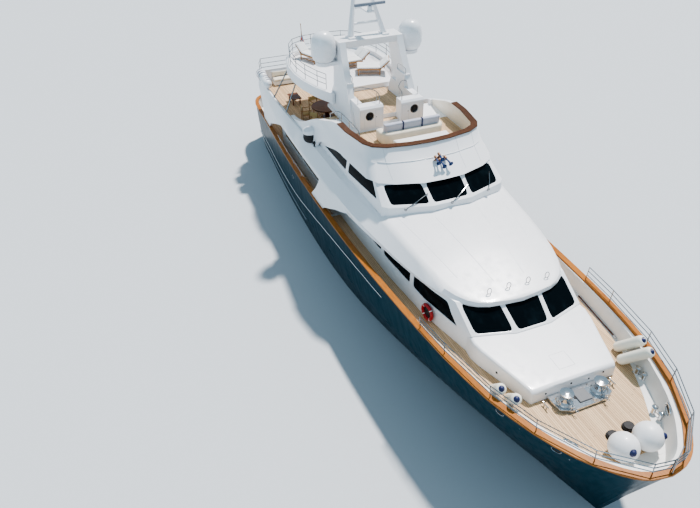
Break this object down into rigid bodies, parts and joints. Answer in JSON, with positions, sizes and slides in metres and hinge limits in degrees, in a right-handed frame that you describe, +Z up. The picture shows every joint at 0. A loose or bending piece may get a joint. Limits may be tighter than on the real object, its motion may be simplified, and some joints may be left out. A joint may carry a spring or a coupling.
{
  "type": "motor yacht",
  "caption": "Long motor yacht with a navy hull, varnished cap rail, teak decks, white superstructure, sundeck, arch mast with domes, twin screws and rudders.",
  "frame": {"origin": "on the centreline at the waterline, midway between the stem head and the after edge of the swim platform", "axes": "+X forward to the bow, +Y to port, +Z up; z = 0 is the waterline"},
  "size_m": [34.88, 8.0312, 15.7005],
  "materials": {
    "navy_paint": "gloss",
    "white_paint": "gloss",
    "teak": "scrubbed",
    "varnished_teak": "varnished",
    "dark_glass": "polished",
    "stainless": "polished",
    "bronze": "satin",
    "cushion_grey": "woven",
    "cushion_cream": "woven",
    "fender_cream": "soft",
    "white_gelcoat": "gloss",
    "ring_red": "matt",
    "locker_grey": "satin"
  },
  "bodies": {
    "yacht": {"hull": "navy_paint", "cap_rail": "varnished_teak", "transom_cap_rail": "varnished_teak", "shaft_bracket_starboard": "bronze", "shaft_bracket_port": "bronze", "swim_platform": "teak", "upper_deck": "white_paint", "main_deckhouse": "white_paint", "main_front_glass": "dark_glass", "saloon_glass_starboard": "dark_glass", "saloon_glass_port": "dark_glass", "foredeck_trunk": "white_paint", "aft_deck_teak": "teak", "sundeck": "white_paint", "sundeck_cap_rail": "varnished_teak", "wheelhouse": "white_paint", "wheelhouse_glass": "dark_glass", "aft_sundeck": "white_paint", "sundeck_stairs": "teak", "sundeck_teak": "teak", "arch": "white_paint", "sat_dome_starboard": "white_gelcoat", "sat_dome_port": "white_gelcoat", "mast": "white_paint", "bow_rail": "stainless", "aft_sundeck_rail": "stainless", "upper_stern_rail": "stainless", "upper_side_rail_starboard": "stainless", "upper_side_rail_port": "stainless", "liferafts_starboard": "white_paint", "liferafts_port": "white_paint", "windlass": "stainless", "foredeck_teak": "teak", "ball_fender_1": "fender_cream", "ball_fender_2": "fender_cream", "long_fenders_starboard": "fender_cream", "long_fenders_port": "fender_cream", "life_ring": "ring_red", "jackstaff": "stainless", "ensign": "varnished_teak", "sofa": "cushion_grey", "sunpad": "cushion_cream", "lounger_1": "cushion_cream", "lounger_2": "cushion_cream", "lounger_3": "cushion_cream", "dining_table": "varnished_teak", "upper_bench": "cushion_cream", "aft_settee": "cushion_cream"},
    "propeller_starboard": {"propeller_starboard": "bronze"},
    "propeller_port": {"propeller_port": "bronze"},
    "rudder_starboard": {"rudder_starboard": "navy_paint"},
    "rudder_port": {"rudder_port": "navy_paint"},
    "garage_door": {"garage_door": "navy_paint"},
    "saloon_door_starboard": {"saloon_door_starboard": "dark_glass"},
    "saloon_door_port": {"saloon_door_port": "dark_glass"},
    "lounge_door_starboard": {"lounge_door_starboard": "dark_glass"},
    "lounge_door_port": {"lounge_door_port": "dark_glass"},
    "chain_hatch": {"chain_hatch": "locker_grey"},
    "radar_scanner": {"radar_scanner": "white_gelcoat"}
  },
  "joints": [
    {"name": "propeller_starboard_spin", "type": "hinge", "parent": "yacht", "child": "propeller_starboard", "pos_m": [-13.6, -1.55, -1.4], "axis": [0.9985, 0, 0.0549], "continuous": true},
    {"name": "rudder_starboard_turn", "type": "hinge", "parent": "yacht", "child": "rudder_starboard", "pos_m": [-14.75, -1.55, -0.8303], "axis": [0, 0, 1], "range_deg": [-35, 35]},
    {"name": "saloon_door_starboard_slide", "type": "slide", "parent": "yacht", "child": "saloon_door_starboard", "axis": [0, -1, 0], "range_m": [0, 0.95]},
    {"name": "lounge_door_starboard_slide", "type": "slide", "parent": "yacht", "child": "lounge_door_starboard", "axis": [0, -1, 0], "range_m": [0, 0.95]},
    {"name": "propeller_port_spin", "type": "hinge", "parent": "yacht", "child": "propeller_port", "pos_m": [-13.6, 1.55, -1.4], "axis": [0.9985, 0, 0.0549], "continuous": true},
    {"name": "rudder_port_turn", "type": "hinge", "parent": "yacht", "child": "rudder_port", "pos_m": [-14.75, 1.55, -0.8303], "axis": [0, 0, 1], "range_deg": [-35, 35]},
    {"name": "saloon_door_port_slide", "type": "slide", "parent": "yacht", "child": "saloon_door_port", "axis": [0, 1, 0], "range_m": [0, 0.95]},
    {"name": "lounge_door_port_slide", "type": "slide", "parent": "yacht", "child": "lounge_door_port", "axis": [0, 1, 0], "range_m": [0, 0.95]},
    {"name": "garage_door_lift", "type": "hinge", "parent": "yacht", "child": "garage_door", "pos_m": [-16.455, 0, 1.91], "axis": [0, 1, 0], "range_deg": [0, 80]},
    {"name": "chain_hatch_lift", "type": "hinge", "parent": "yacht", "child": "chain_hatch", "pos_m": [14.08, 0, 3.4803], "axis": [0, 1, 0], "range_deg": [0, 90]},
    {"name": "radar_scanner_spin", "type": "hinge", "parent": "yacht", "child": "radar_scanner", "pos_m": [-3.3, 0, 11.3403], "axis": [0, 0, 1], "continuous": true}
  ],
  "couplings": [
    {"joint": "rudder_port_turn", "follows": "rudder_starboard_turn", "ratio": 1}
  ]
}
